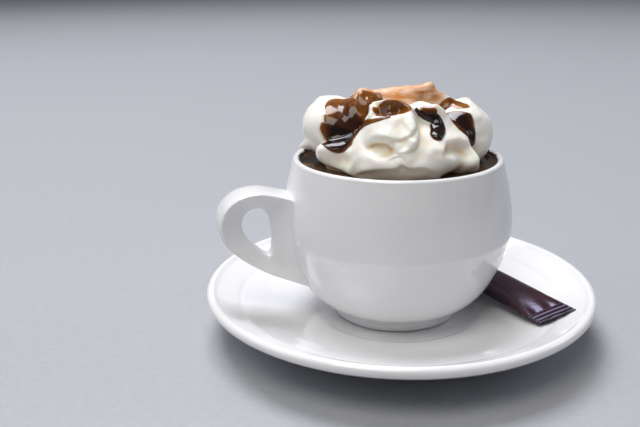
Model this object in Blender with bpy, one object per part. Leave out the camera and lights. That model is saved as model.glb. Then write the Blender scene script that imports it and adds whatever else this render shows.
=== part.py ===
"""Hot chocolate with whipped cream and sauce in a porcelain cup, on its saucer with a wrapped stick.

Metres, +Z up. The origin is the middle of the saucer's foot, on the table.
The cup's handle points along -X.
"""

import math

import bpy
import numpy as np

MM = 0.001
GAP = 0.3 * MM  # between pieces that touch

# Saucer
SAUCER_RADIUS = 80 * MM
SAUCER_HEIGHT = 20 * MM
SAUCER_LIP = 4.2 * MM
SAUCER_WALL = 4.6 * MM
WELL_RADIUS = 33 * MM
WELL_FLOOR = 6.4 * MM
WELL_STEP = 1.2 * MM
CREASE_RADIUS = 66.5 * MM
CREASE_HEIGHT = 14.3 * MM
FOOT_OUTER = 33 * MM
FOOT_INNER = 28.5 * MM
FOOT_RECESS = 1.8 * MM
SAUCER_STEPS = 64

# Cup
CUP_X = -0.5 * MM
CUP_Y = 1.5 * MM
CUP_BASE = WELL_FLOOR + GAP
CUP_TOP = 73.05 * MM
CUP_FOOT_RADIUS = 25.9 * MM
CUP_FOOT_HEIGHT = 3.5 * MM
CUP_FOOT_WIDTH = 3.6 * MM
CUP_FOOT_RECESS = 2.2 * MM
BELLY_SHARES = (0.0, 0.06, 0.15, 0.30, 0.45, 0.60, 0.75, 0.88, 1.0)
BELLY_RADII = (25.3, 32.3, 37.7, 42.6, 45.7, 46.8, 45.9, 44.2, 42.4)
LIP_THICKNESS = 2.8 * MM
CUP_WALL = 3.6 * MM
CUP_FLOOR = 6.0 * MM
CUP_STEPS = 56

# Handle: outline pairs in mm, (distance from the cup's axis, height), over the top and back along the wall
HANDLE_OUTER = (
    (45.0, 58.6), (50.8, 61.4), (58.5, 62.9), (66.2, 61.4), (71.6, 56.8), (73.5, 50.0), (71.4, 42.8),
    (65.6, 36.8), (57.8, 31.4), (49.5, 27.2), (39.2, 23.8), (41.6, 32.0), (44.1, 42.0), (44.3, 51.0),
)
HANDLE_HOLE = (
    (55.4, 54.4), (57.0, 55.4), (59.6, 55.4), (62.2, 54.4), (64.0, 51.8), (64.5, 48.0), (62.4, 43.8),
    (59.0, 39.9), (56.2, 37.2), (54.2, 36.5), (53.0, 38.2), (52.6, 42.0), (52.8, 46.5), (53.6, 51.2),
)
HANDLE_SECTION = (  # share of the way from the hole to the outer edge, half width in mm
    (0.0, 0.0), (0.03, 2.2), (0.14, 3.5), (0.50, 5.4), (0.90, 7.4), (0.99, 7.1), (1.06, 3.8),
)
HANDLE_STEPS = 42

# Drink and cream
DRINK_LEVEL = CUP_TOP - 2.5 * MM
CREAM_TURN = math.radians(-20)
CREAM_AROUND = 96
CREAM_UP = 27
CREAM_START = 62.0
CREAM_BASE = (DRINK_LEVEL + GAP - CUP_TOP) / MM

# Lobes of the cream in mm about the cup's axis, x right, y away and z above the rim:
# centre, radii, turn in degrees, softness of the join
LOBES = (
    ((0, 2, 3), (28, 28, 15), 0, 3.0),
    ((-26.3, 3, 10.6), (12.4, 17, 12.6), 8, 1.2),
    ((24.6, 4, 7.6), (13.4, 18, 13.0), -8, 1.2),
    ((2, -14.5, 3.0), (23.5, 20, 15), 0, 2.0),
    ((-2, -16, 11), (12.5, 14, 12.3), 0, 1.5),
    ((-19.0, -1, 13.5), (8.0, 11, 10.5), 0, 1.5),
    ((-14.6, -2, 17.0), (5.5, 9, 10.2), 0, 1.5),
    ((1, 5, 13.5), (19, 11, 9.5), 8, 2.5),
    ((-10, 20, 7), (19, 14.5, 14), 20, 1.5),
    ((13, 19, 7), (18, 15, 13.5), -20, 1.5),
)
# Rolls of the cream: two ends, their radii, softness of the join
ROLLS = (
    ((-14, 0, 21.8), (3, 3, 21.8), 4.2, 5.0, 2.0),
    ((1, 3, 20.5), (12.6, 4, 27.3), 6.0, 1.4, 2.0),
    ((12, 4, 25.5), (22, 5, 15), 2.0, 5.5, 2.0),
    ((9, -12, 16.5), (26.5, -17, -0.5), 7.0, 5.0, 2.0),
    ((12.5, -9.5, 17.2), (21, -11, 8.3), 3.2, 3.6, 2.0),
    ((-33, -3, 6.5), (-39.3, -2, 3.2), 3.2, 0.7, 1.5),
    ((-8, -18, 5), (-28, -15.5, 4.2), 8.5, 3.6, 2.5),
    ((-8, -20, 0), (-23, -14, 0), 8.5, 5.0, 2.5),
    ((-8, -21, -1), (12, -21.5, -2), 9.0, 8.0, 2.5),
)
# Folds, drawn on the cream as (turn from its front, rise above its base) in degrees: line, height,
# width on the left and on the right of the line, all in mm. The narrow side is the fold's edge.
FOLDS = (
    (((-74, 66), (-68, 67), (-62, 64), (-26, 48), (-28, 38)), 2.0, 1.6, 1.8),
    (((-64, 67), (-30, 57), (-6, 56), (2, 56), (10, 50), (13, 45)), 2.2, 3.0, 1.8),
    (((10, 50), (14, 43), (15, 33), (12, 25), (6, 20)), 1.8, 1.8, 4.0),
    (((36, 53), (50, 50), (62, 44), (66, 35), (65, 26), (62, 18), (60, 10), (60, 3)), 2.0, 1.8, 3.0),
    (((-24, 20), (-18, 25), (-8, 25), (-3, 22), (1, 17)), 1.9, 2.8, 1.8),
    (((27, 17), (33, 21), (46, 24), (58, 21)), 1.3, 2.6, 1.8),
    (((-32, 0), (-19, 5), (-5, 9), (5, 10)), 1.6, 2.6, 1.8),
    (((-64, 6), (-54, 4), (-41, 2), (-28, 0)), 1.6, 3.0, 1.8),
)
# Hollows pressed into the cream, in the same terms: line, depth, width
HOLLOWS = (
    (((-20, 48), (-9, 47), (0, 49)), 3.0, 2.6),
    (((-18, 21), (-13, 20), (-6, 20)), 3.4, 2.5),
    (((37, 18), (45, 18), (51, 15)), 2.8, 3.0),
)
# Sauce on the cream: line, half widths along it, thickness, all in mm
SAUCE_RUNS = (
    (((-63, 39), (-58, 35), (-56, 29), (-50, 22)), (6.0, 7.6, 7.4, 5.0), 0.8),
    (((29, 46), (39, 42), (38, 35), (30, 28)), (1.3, 2.7, 3.2, 2.4), 1.6),
)

# Wrapped stick, beside the cup on the saucer
STICK_END = (49.5 * MM, -45.5 * MM)
STICK_TURN = math.radians(8.6)
STICK_LENGTH = 85 * MM
STICK_WIDTH = 17 * MM
STICK_THICKNESS = 5.4 * MM
CRIMP_LENGTH = 8 * MM
CRIMP_THICKNESS = 0.9 * MM
CRIMP_RIDGES = 3
CRIMP_DEPTH = 0.3 * MM
STICK_STEPS = 18
STICK_SIDES = 14


def clear_scene():
    for old in list(bpy.data.objects):
        bpy.data.objects.remove(old, do_unlink=True)


def material(name, colour, roughness):
    made = bpy.data.materials.new(name)
    made.use_nodes = True
    shader = made.node_tree.nodes["Principled BSDF"]
    shader.inputs["Base Color"].default_value = (*colour, 1.0)
    shader.inputs["Roughness"].default_value = roughness
    return made


def put(name, mesh, finish, location=(0.0, 0.0, 0.0)):
    mesh.materials.append(finish)
    made = bpy.data.objects.new(name, mesh)
    made.location = location
    bpy.context.scene.collection.objects.link(made)
    return made


def turned(name, profile, steps, finish, location=(0.0, 0.0, 0.0)):
    """A profile of (radius, height) from the axis, out and down to the axis again, turned about Z."""
    mesh = bpy.data.meshes.new(name)
    points = [(r, 0.0, z) for r, z in profile]
    mesh.from_pydata(points, [(i, i + 1) for i in range(len(points) - 1)], [])
    made = put(name, mesh, finish, location)
    screw = made.modifiers.new("turn", "SCREW")
    screw.steps = steps
    screw.render_steps = steps
    screw.use_merge_vertices = True
    screw.merge_threshold = 0.00005
    screw.use_smooth_shade = True
    return made


def closed_grid(name, rows, finish, location=(0.0, 0.0, 0.0), ends=True):
    """A mesh over rows of points, each row a closed loop.
    The ends get flat caps, or without ends the last row meets the first."""
    count, sides = rows.shape[:2]
    index = np.arange(count * sides).reshape(count, sides)
    after = index[1:] if ends else np.roll(index, -1, axis=0)
    first = index[:-1] if ends else index
    faces = np.stack([first, np.roll(first, -1, 1), np.roll(after, -1, 1), after], axis=-1)
    faces = faces.reshape(-1, 4).tolist()
    if ends:
        faces += [index[0, ::-1].tolist(), index[-1].tolist()]
    mesh = bpy.data.meshes.new(name)
    mesh.from_pydata(rows.reshape(-1, 3).tolist(), [], faces)
    mesh.shade_smooth()
    return put(name, mesh, finish, location)


def arc(centre, radius, start, end, count):
    """Points of an arc in the profile's plane, angles in degrees."""
    turns = np.radians(np.linspace(start, end, count))
    return [(centre[0] + radius * math.cos(t), centre[1] + radius * math.sin(t)) for t in turns]


def through(points, count, closed=False):
    """A smooth curve through points: a Catmull-Rom spline, read at evenly spaced parameters."""
    points = np.array(points, float)
    if closed:
        padded = np.vstack([points[-1:], points, points[:2]])
        spans = len(points)
    else:
        padded = np.vstack([2 * points[0] - points[1], points, 2 * points[-1] - points[-2]])
        spans = len(points) - 1
    along = np.linspace(0, spans, count, endpoint=not closed)
    span = np.minimum(along.astype(int), spans - 1)
    s = (along - span)[:, None]
    a, b, c, d = (padded[span + k] for k in range(4))
    return 0.5 * (2 * b + (c - a) * s + (2 * a - 5 * b + 4 * c - d) * s**2 + (3 * b - a - 3 * c + d) * s**3)


def saucer_top():
    """The saucer's upper side from the axis to its lip."""
    return [
        (0.0, WELL_FLOOR),
        (WELL_RADIUS, WELL_FLOOR),
        (WELL_RADIUS + 2 * WELL_STEP, WELL_FLOOR + WELL_STEP),
        (50 * MM, 9.9 * MM),
        (60 * MM, 12.5 * MM),
        (CREASE_RADIUS, CREASE_HEIGHT),
        (73 * MM, 17.3 * MM),
    ]


def saucer_height(radius):
    top = saucer_top() + [(SAUCER_RADIUS, SAUCER_HEIGHT)]
    return np.interp(radius, [r for r, _ in top], [z for _, z in top])


def build_saucer(finish):
    lip = SAUCER_LIP / 2
    centre = (SAUCER_RADIUS - lip, SAUCER_HEIGHT - lip)
    profile = saucer_top() + arc(centre, lip, 115, -65, 6)
    profile += [
        (CREASE_RADIUS, CREASE_HEIGHT - SAUCER_WALL),
        (50 * MM, 5.2 * MM),
        (FOOT_OUTER + 2 * MM, 2.4 * MM),
        (FOOT_OUTER, 0.0),
        (FOOT_INNER, 0.0),
        (FOOT_INNER - 1 * MM, FOOT_RECESS),
        (0.0, FOOT_RECESS),
    ]
    return turned("saucer", profile, SAUCER_STEPS, finish)


def belly():
    """The cup's outer side from its foot to its lip, bottom to top."""
    low = CUP_BASE + CUP_FOOT_HEIGHT
    high = CUP_TOP - 1.2 * MM
    return [(r * MM, low + (high - low) * s) for r, s in zip(BELLY_RADII, BELLY_SHARES)]


def inner_radius(height):
    outer = belly()
    share = np.clip((height - CUP_BASE) / (CUP_TOP - CUP_BASE), 0, 1)
    wall = CUP_WALL + (LIP_THICKNESS - CUP_WALL) * share**4
    return float(np.interp(height, [z for _, z in outer], [r for r, _ in outer])) - wall


def hollow(level, gap=0.0):
    """The cup's inside from the middle of its floor up to a level, less a gap."""
    floor = CUP_BASE + CUP_FLOOR
    heights = [floor + step * MM for step in (1.2, 5, 12, 24, 38, 50)]
    radii = [inner_radius(h) for h in heights]
    radii[0] -= 5 * MM
    rising = [(0.0, floor + gap), (20 * MM, floor + gap)]
    rising += [(r - gap, h + gap / 2) for r, h in zip(radii, heights)]
    return rising + [(inner_radius(level) - gap, level)]


def build_cup(finish):
    lip = LIP_THICKNESS / 2
    rim_centre = (BELLY_RADII[-1] * MM - lip, CUP_TOP - lip)
    profile = hollow(rim_centre[1])[:-1]
    profile += arc(rim_centre, lip, 180, 0, 6)
    profile += [point for point in reversed(belly()) if point[1] < rim_centre[1] - 1 * MM]
    profile += [
        (CUP_FOOT_RADIUS, CUP_BASE + CUP_FOOT_HEIGHT - 1.2 * MM),
        (CUP_FOOT_RADIUS, CUP_BASE),
        (CUP_FOOT_RADIUS - CUP_FOOT_WIDTH, CUP_BASE),
        (CUP_FOOT_RADIUS - CUP_FOOT_WIDTH - 1 * MM, CUP_BASE + CUP_FOOT_RECESS),
        (0.0, CUP_BASE + CUP_FOOT_RECESS),
    ]
    cup = turned("cup", profile, CUP_STEPS, finish, (CUP_X, CUP_Y, 0.0))
    join = cup.modifiers.new("handle", "BOOLEAN")
    join.operation = "UNION"
    join.object = build_handle(finish)
    return cup


def build_handle(finish):
    """An ear: at each step a wedge section reaches from the hole's edge to the outer edge,
    and the sections close into a ring."""
    outer = through(HANDLE_OUTER, HANDLE_STEPS, closed=True)
    hole = through(HANDLE_HOLE, HANDLE_STEPS, closed=True)
    section = list(HANDLE_SECTION) + [(share, -width) for share, width in reversed(HANDLE_SECTION[1:])]
    share = np.array([s for s, _ in section])[None, :, None]
    width = np.array([w for _, w in section])
    flat = hole[:, None] + (outer - hole)[:, None] * share
    rows = np.stack([-flat[..., 0], np.broadcast_to(width, flat.shape[:2]), flat[..., 1]], axis=-1) * MM
    ear = closed_grid("handle_shape", rows, finish, (CUP_X, CUP_Y, 0.0), ends=False)
    ear.hide_render = True
    ear.display_type = "WIRE"
    return ear


def build_drink(finish):
    profile = hollow(DRINK_LEVEL, GAP)
    profile = [(0.0, DRINK_LEVEL)] + list(reversed(profile))
    return turned("drink", profile, CUP_STEPS, finish, (CUP_X, CUP_Y, 0.0))


def soft_union(a, b, softness):
    """The nearer of two distances, with the crease between them rounded by the softness."""
    share = np.clip(0.5 + 0.5 * (b - a) / softness, 0, 1)
    return b + (a - b) * share - softness * share * (1 - share)


def cream_distance(points):
    """Distance from points to the joined lobes and rolls: about exact near them, negative inside."""
    nearest = np.full(points.shape[:-1], 1e3)
    for centre, radii, turn, softness in LOBES:
        away = points - np.array(centre, float)
        c = math.cos(math.radians(turn))
        s = math.sin(math.radians(turn))
        x = away[..., 0] * c + away[..., 1] * s
        y = away[..., 1] * c - away[..., 0] * s
        away = np.stack([x, y, away[..., 2]], axis=-1)
        scaled = np.linalg.norm(away / radii, axis=-1)
        slope = np.linalg.norm(away / np.square(radii), axis=-1)
        nearest = soft_union(nearest, scaled * (scaled - 1) / np.maximum(slope, 1e-9), softness)
    for start, end, start_radius, end_radius, softness in ROLLS:
        start = np.array(start, float)
        span = np.array(end, float) - start
        share = np.clip((points - start) @ span / (span @ span), 0, 1)
        off = np.linalg.norm(points - start - share[..., None] * span, axis=-1)
        nearest = soft_union(nearest, off - start_radius - (end_radius - start_radius) * share, softness)
    return nearest


def toward(turn, rise):
    """The unit direction from the cream's base to a place on it, given in degrees."""
    turn = math.radians(turn)
    rise = math.radians(rise)
    return np.array([math.sin(turn) * math.cos(rise), -math.cos(turn) * math.cos(rise), math.sin(rise)])


def from_line(directions, reach, line):
    """For each direction: how many mm over the cream to a smooth line, which side of it,
    and how far along it from 0 to 1."""
    places = [toward(turn, rise) for turn, rise in through(line, 4 * len(line))]
    nearest = np.full(reach.shape, 1e3)
    side = np.zeros(reach.shape)
    along = np.zeros(reach.shape)
    for step, (a, b) in enumerate(zip(places, places[1:])):
        span = b - a
        share = np.clip((directions - a) @ span / (span @ span), 0, 1)
        off = directions - a - share[..., None] * span
        far = np.linalg.norm(off, axis=-1) * reach
        closer = far < nearest
        nearest = np.where(closer, far, nearest)
        side = np.where(closer, off @ np.cross(a + b, span), side)
        along = np.where(closer, (step + share) / (len(places) - 1), along)
    return nearest, side, along


def relief(directions, reach):
    """How far folds, hollows and sauce move the cream's surface.
    Folds and hollows fall off as a bell from their line, and folds fade at their ends.
    A run of sauce is as thick as the root of the share of its half width that is left."""
    total = np.zeros(reach.shape)
    for line, height, left, right in FOLDS:
        off, side, along = from_line(directions, reach, line)
        width = np.where(side > 0, left, right)
        fade = np.clip(along / 0.18, 0, 1) * np.clip((1 - along) / 0.18, 0, 1)
        total += height * np.exp(-((off / width) ** 2)) * fade
    for line, depth, width in HOLLOWS:
        off, _, _ = from_line(directions, reach, line)
        total -= depth * np.exp(-((off / width) ** 2))
    for line, halves, thickness in SAUCE_RUNS:
        off, _, along = from_line(directions, reach, line)
        half = np.interp(along, np.linspace(0, 1, len(halves)), halves)
        total += thickness * np.sqrt(np.clip(1 - off / half, 0, 1))
    return total


def build_cream(finish):
    """Star-shaped about the middle of its base.
    In each direction the cream reaches to the outermost lobe or roll."""
    around = np.linspace(0, 2 * math.pi, CREAM_AROUND, endpoint=False)
    up = np.linspace(0, math.pi / 2, CREAM_UP + 1)[:-1]
    turn, rise = np.meshgrid(around, up)
    directions = np.stack([np.cos(rise) * np.cos(turn), np.cos(rise) * np.sin(turn), np.sin(rise)], axis=-1)
    base = np.array([0, 0, CREAM_BASE])
    reach = np.full(turn.shape, CREAM_START)
    for _ in range(40):
        reach = reach - 0.85 * cream_distance(base + reach[..., None] * directions)
    reach = reach + relief(directions, reach)
    points = base + reach[..., None] * directions
    c = math.cos(CREAM_TURN)
    s = math.sin(CREAM_TURN)
    x = points[..., 0] * c - points[..., 1] * s
    y = points[..., 0] * s + points[..., 1] * c
    points = np.stack([x, y, points[..., 2] + CUP_TOP / MM], axis=-1) * MM
    return closed_grid("whipped_cream", points, finish, (CUP_X, CUP_Y, 0.0))


def build_stick(finish):
    """A flat pillow between two crimped ends, lowered on to the saucer until it is a gap away."""
    crimp = np.linspace(0, CRIMP_LENGTH, 2 * CRIMP_RIDGES + 1)
    middle = np.linspace(CRIMP_LENGTH, STICK_LENGTH - CRIMP_LENGTH, STICK_STEPS)[1:-1]
    along = np.concatenate([crimp, middle, STICK_LENGTH - crimp[::-1]])
    near_end = np.minimum(along, STICK_LENGTH - along)
    swell = np.clip((near_end - CRIMP_LENGTH) / (STICK_LENGTH / 2 - CRIMP_LENGTH), 0, 1)
    thick = CRIMP_THICKNESS + (STICK_THICKNESS - CRIMP_THICKNESS) * (1 - (1 - swell) ** 4)
    crimped = np.where(near_end < CRIMP_LENGTH - 0.1 * MM, 1.0, 0.0)
    ridges = CRIMP_DEPTH * crimped * np.cos(2 * math.pi * CRIMP_RIDGES * near_end / CRIMP_LENGTH)
    half_width = STICK_WIDTH / 2 * (1 - 0.06 * np.clip(swell * 4, 0, 1))
    turns = np.linspace(0, 2 * math.pi, STICK_SIDES, endpoint=False)
    across = half_width[:, None] * np.cos(turns)
    height = thick[:, None] / 2 * np.sin(turns) + ridges[:, None]
    c = math.cos(STICK_TURN)
    s = math.sin(STICK_TURN)
    x = STICK_END[0] - along[:, None] * s + across * c
    y = STICK_END[1] + along[:, None] * c + across * s
    # The stick leans as the saucer does: across its width near the two ends, and along its length
    ends = []
    for share in (0.12, 0.88):
        place_x = STICK_END[0] - STICK_LENGTH * share * s
        place_y = STICK_END[1] + STICK_LENGTH * share * c
        sides = [saucer_height(math.hypot(place_x + k * c, place_y + k * s)) for k in (-0.008, 0.008)]
        ends.append((share * STICK_LENGTH, sum(sides) / 2, (sides[1] - sides[0]) / 0.016))
    (first, low, lean_a), (last, high, lean_b) = ends
    slope = (high - low) / (last - first)
    bed = slope * along[:, None] + (lean_a + lean_b) / 2 * across
    lift = np.max(saucer_height(np.hypot(x, y)) - bed - height)
    rows = np.stack([x, y, bed + height + lift + GAP], axis=-1)
    return closed_grid("wrapped_stick", rows[:, ::-1], finish)


def build():
    clear_scene()
    porcelain = material("glazed_porcelain", (0.84, 0.84, 0.83), 0.12)
    chocolate = material("hot_chocolate", (0.035, 0.014, 0.008), 0.15)
    cream = material("whipped_cream", (0.88, 0.83, 0.72), 0.45)
    film = material("brown_film", (0.06, 0.025, 0.028), 0.25)
    build_saucer(porcelain)
    build_cup(porcelain)
    build_drink(chocolate)
    build_cream(cream)
    build_stick(film)


build()
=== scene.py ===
"""Looks of the hot chocolate: glazed cup and saucer, drink, whipped cream with sauce, wrapped stick."""

import math

import bpy
import numpy as np
from mathutils import Matrix, Vector


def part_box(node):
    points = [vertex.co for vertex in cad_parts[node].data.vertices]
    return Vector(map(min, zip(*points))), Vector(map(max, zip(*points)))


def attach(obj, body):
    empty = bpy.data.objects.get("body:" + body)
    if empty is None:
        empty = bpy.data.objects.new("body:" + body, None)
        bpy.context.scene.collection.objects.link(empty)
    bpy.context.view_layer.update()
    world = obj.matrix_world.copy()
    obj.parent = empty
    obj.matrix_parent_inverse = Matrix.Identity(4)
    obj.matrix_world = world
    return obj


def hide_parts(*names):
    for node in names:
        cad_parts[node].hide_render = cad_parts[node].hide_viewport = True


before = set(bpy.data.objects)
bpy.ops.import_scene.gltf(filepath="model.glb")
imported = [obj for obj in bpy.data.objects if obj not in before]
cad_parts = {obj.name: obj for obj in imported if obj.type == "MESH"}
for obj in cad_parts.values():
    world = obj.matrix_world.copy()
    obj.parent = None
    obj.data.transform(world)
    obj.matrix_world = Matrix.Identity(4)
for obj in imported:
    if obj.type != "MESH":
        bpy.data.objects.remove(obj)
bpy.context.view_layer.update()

MM = 0.001
TAU = 2 * math.pi

# Places read from the frame, in metres
CUP_LOW, CUP_HIGH = (np.array(corner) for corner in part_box("cup"))
SAUCER_RADIUS = 80 * MM
SAUCER_HEIGHT = 20 * MM
BELLY_RADII = (25.3, 32.3, 37.7, 42.6, 45.7, 46.8, 45.9, 44.2, 42.4)
BELLY_SHARES = (0.0, 0.06, 0.15, 0.30, 0.45, 0.60, 0.75, 0.88, 1.0)
CUP_X = -0.5 * MM
CUP_Y = float(CUP_LOW[1] + CUP_HIGH[1]) / 2
CUP_BASE = float(CUP_LOW[2])
CUP_TOP = 73.05 * MM

# Porcelain sections, in metres
LIP = 2.8 * MM
WALL = 3.6 * MM
FLOOR = 6.0 * MM
FOOT_RADIUS = 25.9 * MM
FOOT_HEIGHT = 3.5 * MM
FOOT_WIDTH = 3.6 * MM
FOOT_RECESS = 2.2 * MM
WELL_RADIUS = 33 * MM
WELL_FLOOR = 6.4 * MM
CREASE_RADIUS = 66.5 * MM
CREASE_HEIGHT = 14.3 * MM
SAUCER_LIP = 4.2 * MM
SAUCER_WALL = 4.6 * MM
DRINK_LEVEL = CUP_TOP - 2.5 * MM
PROFILE_STEP = 1.5 * MM
SAUCER_SIDES = 288
CUP_SIDES = 256
DRINK_SIDES = 512
HANDLE_STEPS = 180
HANDLE_SIDES = 64

# Handle: outline pairs in mm, (distance from the cup's axis, height), over the top and back along the wall
HANDLE_OUTER = (
    (45.0, 58.6), (50.8, 61.4), (58.5, 62.9), (66.2, 61.4), (71.6, 56.8), (73.5, 50.0), (71.4, 42.8),
    (65.6, 36.8), (57.8, 31.4), (49.5, 27.2), (39.2, 23.8), (41.6, 32.0), (44.1, 42.0), (44.3, 51.0),
)
HANDLE_HOLE = (
    (55.4, 54.4), (57.0, 55.4), (59.6, 55.4), (62.2, 54.4), (64.0, 51.8), (64.5, 48.0), (62.4, 43.8),
    (59.0, 39.9), (56.2, 37.2), (54.2, 36.5), (53.0, 38.2), (52.6, 42.0), (52.8, 46.5), (53.6, 51.2),
)
HANDLE_SECTION = (  # share of the way from the hole to the outer edge, half width in mm
    (0.0, 0.0), (0.02, 2.2), (0.12, 3.5), (0.50, 5.3), (0.88, 7.3), (0.98, 7.3), (1.04, 5.6), (1.07, 2.4),
)

# Cream, in mm about the cup's axis: x right, y away and z above the rim, as its front faces the camera
CREAM_TURN = math.radians(-20)
CREAM_BASE = -2.2
# Lobes: centre, radii, turn in degrees, softness of the join
LOBES = (
    ((0, 2, 3), (28, 28, 15), 0, 3.0),
    ((-26.3, 3, 10.6), (12.4, 17, 12.6), 8, 1.2),
    ((24.6, 4, 7.6), (13.4, 18, 13.0), -8, 1.2),
    ((2, -14.5, 3.0), (23.5, 20, 15), 0, 2.0),
    ((-2, -16, 11), (12.5, 14, 12.3), 0, 1.5),
    ((-19.0, -1, 13.5), (8.0, 11, 10.5), 0, 1.5),
    ((-14.6, -2, 17.0), (5.5, 9, 10.2), 0, 1.5),
    ((1, 5, 13.5), (19, 11, 9.5), 8, 2.5),
    ((-10, 20, 7), (19, 14.5, 14), 20, 1.5),
    ((13, 19, 7), (18, 15, 13.5), -20, 1.5),
)
# Rolls: two ends, their radii, softness of the join
ROLLS = (
    ((-14, 0, 21.8), (3, 3, 21.8), 4.2, 5.0, 2.0),
    ((1, 3, 20.5), (12.6, 4, 27.3), 6.0, 1.4, 2.0),
    ((12, 4, 25.5), (22, 5, 15), 2.0, 5.5, 2.0),
    ((9, -12, 16.5), (26.5, -17, -0.5), 7.0, 5.0, 2.0),
    ((12.5, -9.5, 17.2), (21, -11, 8.3), 3.2, 3.6, 2.0),
    ((-33, -3, 6.5), (-39.3, -2, 3.2), 3.2, 0.7, 1.5),
    ((-8, -18, 5), (-28, -15.5, 4.2), 8.5, 3.6, 2.5),
    ((-8, -20, 0), (-23, -14, 0), 8.5, 5.0, 2.5),
    ((-8, -21, -1), (12, -21.5, -2), 9.0, 8.0, 2.5),
)
# Folds, drawn on the cream as (turn from its front, rise above its base) in degrees: line, height,
# width on the left and on the right of the line, all in mm. The narrow side is the fold's edge.
FOLDS = (
    (((-74, 66), (-66, 68), (-58, 64), (-28, 49), (-28, 38)), 2.8, 1.5, 1.3),
    (((-64, 67), (-30, 57), (-6, 56), (2, 56), (10, 50), (13, 45)), 2.2, 3.0, 1.0),
    (((10, 50), (14, 43), (15, 33), (12, 25), (6, 20)), 1.8, 1.2, 4.0),
    (((-19, 30), (-8, 27), (-2, 26), (5, 27), (11, 31), (13, 37), (9, 44)), 1.4, 3.2, 0.8),
    (((0, 46), (5, 38), (8, 33), (10, 29)), 0.5, 1.4, 0.7),
    (((13, 26), (10, 21), (3, 18), (-4, 19)), 1.2, 0.9, 3.0),
    (((34, 53), (46, 51), (58, 45), (63, 36), (63, 27), (62, 18), (60, 10), (60, 3)), 2.2, 0.9, 3.0),
    (((-24, 20), (-18, 25), (-8, 25), (-3, 22), (1, 17)), 1.9, 2.8, 0.7),
    (((-21, 16), (-12, 13), (-4, 15), (1, 17)), 1.0, 0.7, 2.5),
    (((27, 14), (31, 19), (40, 23), (52, 22), (62, 16)), 1.4, 2.6, 0.9),
    (((25, 12), (33, 12), (42, 9)), 0.9, 2.0, 2.0),
    (((-32, 0), (-22, 5), (-10, 8), (-1, 9), (3, 11), (8, 9), (16, 9), (25, 5)), 1.5, 2.6, 0.7),
    (((-7, 13), (0, 16), (5, 15), (8, 10)), 0.9, 2.0, 0.7),
    (((-61, 11), (-55, 15), (-46, 15), (-34, 18)), 1.2, 2.2, 2.6),
    (((-64, 6), (-54, 4), (-41, 2), (-28, 0)), 1.6, 3.0, 0.9),
    (((-85, 17), (-79, 15), (-66, 13)), -0.9, 2.6, 1.6),
    (((-30, 76), (0, 81), (43, 80), (64, 66), (80, 57)), -1.8, 1.3, 1.6),
    (((100, 14), (110, 24), (113, 36), (106, 46)), 1.0, 1.0, 3.0),
    (((104, 30), (118, 39), (138, 37), (155, 27), (163, 15)), 1.9, 3.4, 0.9),
    (((114, 19), (127, 25), (142, 22), (149, 11)), 1.5, 2.8, 0.8),
    (((166, 46), (185, 42), (205, 37), (222, 27), (230, 14)), 1.9, 3.4, 0.9),
    (((178, 29), (194, 28), (207, 19), (211, 8)), 1.4, 2.6, 0.8),
    (((-113, 47), (-130, 52), (-150, 50), (-170, 55)), 1.6, 0.9, 3.0),
    (((-134, 8), (-119, 21), (-107, 31), (-102, 42)), 1.0, 3.0, 0.9),
)
# Hollows pressed into the cream, in the same terms: line, depth, width
HOLLOWS = (
    (((-20, 48), (-9, 47), (0, 49)), 3.0, 2.6),
    (((-72, 70), (-64, 62), (-56, 53)), 2.4, 3.0),
    (((20, 35), (19, 25)), 1.2, 3.0),
    (((-19, 22), (-13, 21), (-5, 19)), 2.9, 3.0),
    (((38, 18), (47, 17), (54, 14)), 3.0, 2.8),
    (((-83, 45), (-68, 42), (-59, 37), (-55, 29), (-45, 18)), 2.6, 6.5),
    (((80, 55), (75, 47), (71, 37), (69, 27), (71, 13)), 3.2, 3.6),
    (((28, 48), (39, 41), (33, 31)), 1.0, 3.4),
    (((78, 26), (78, 20)), 1.6, 2.6),
    (((131, 31), (139, 29)), 1.6, 2.6),
    (((196, 33), (205, 29)), 1.6, 2.4),
    (((34, -3), (44, -2), (56, -1)), 4.5, 3.0),
)
# Sauce: line, half widths along it, greatest thickness, all in mm
SAUCE_RUNS = (
    (((-83, 46), (-68, 44), (-61, 40)), (5.0, 6.6, 7.2), 0.5),
    (((-63, 39), (-58, 35), (-56, 29)), (5.0, 6.8, 7.4), 0.6),
    (((-59, 29), (-56, 26), (-50, 22)), (3.0, 6.2, 5.0), 1.5),
    (((-42, 22), (-52, 20), (-61, 18)), (1.4, 2.2, 1.2), 0.7),
    (((-55, 40), (-29, 38), (-16, 39), (-7, 41)), (3.5, 1.4, 1.0, 0.6), 0.6),
    (((-74, 70), (-65, 62), (-55, 54)), (2.6, 3.2, 3.6), 0.3),
    (((-20, 50), (-9, 50), (4, 51)), (2.6, 4.3, 3.4), 0.3),
    (((-20, 45), (-9, 45), (1, 46)), (0.8, 1.7, 0.9), 0.7),
    (((-40, 75), (-5, 81)), (0.9, 0.9), 0.5),
    (((20, 51), (29, 46), (39, 42), (38, 35), (30, 28)), (0.4, 0.9, 2.4, 3.1, 2.3), 1.9),
    (((29, 51), (40, 47)), (1.0, 1.4), 0.4),
    (((80, 54), (75, 47), (71, 37), (69, 27), (70, 17)), (0.6, 2.5, 4.5, 3.9, 1.6), 1.2),
    (((91, 51), (97, 46), (88, 41)), (2.0, 2.2, 2.0), 0.2),
    (((150, 72), (141, 58), (150, 44), (144, 31)), (2.0, 2.8, 3.2, 2.6), 1.3),
    (((228, 66), (214, 55), (221, 42), (215, 30)), (1.4, 2.2, 2.6, 2.2), 1.2),
    (((126, 58), (150, 53), (175, 59), (197, 53), (222, 57)), (0.8, 1.3, 1.0, 1.3, 0.8), 0.7),
)
CREST_START = (-14, -1, 24)
CREST_END = (13, 3, 26)
CREAM_TURNS = 440
CREAM_RISES = 196
CREAM_OUTSIDE = 62.0
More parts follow.
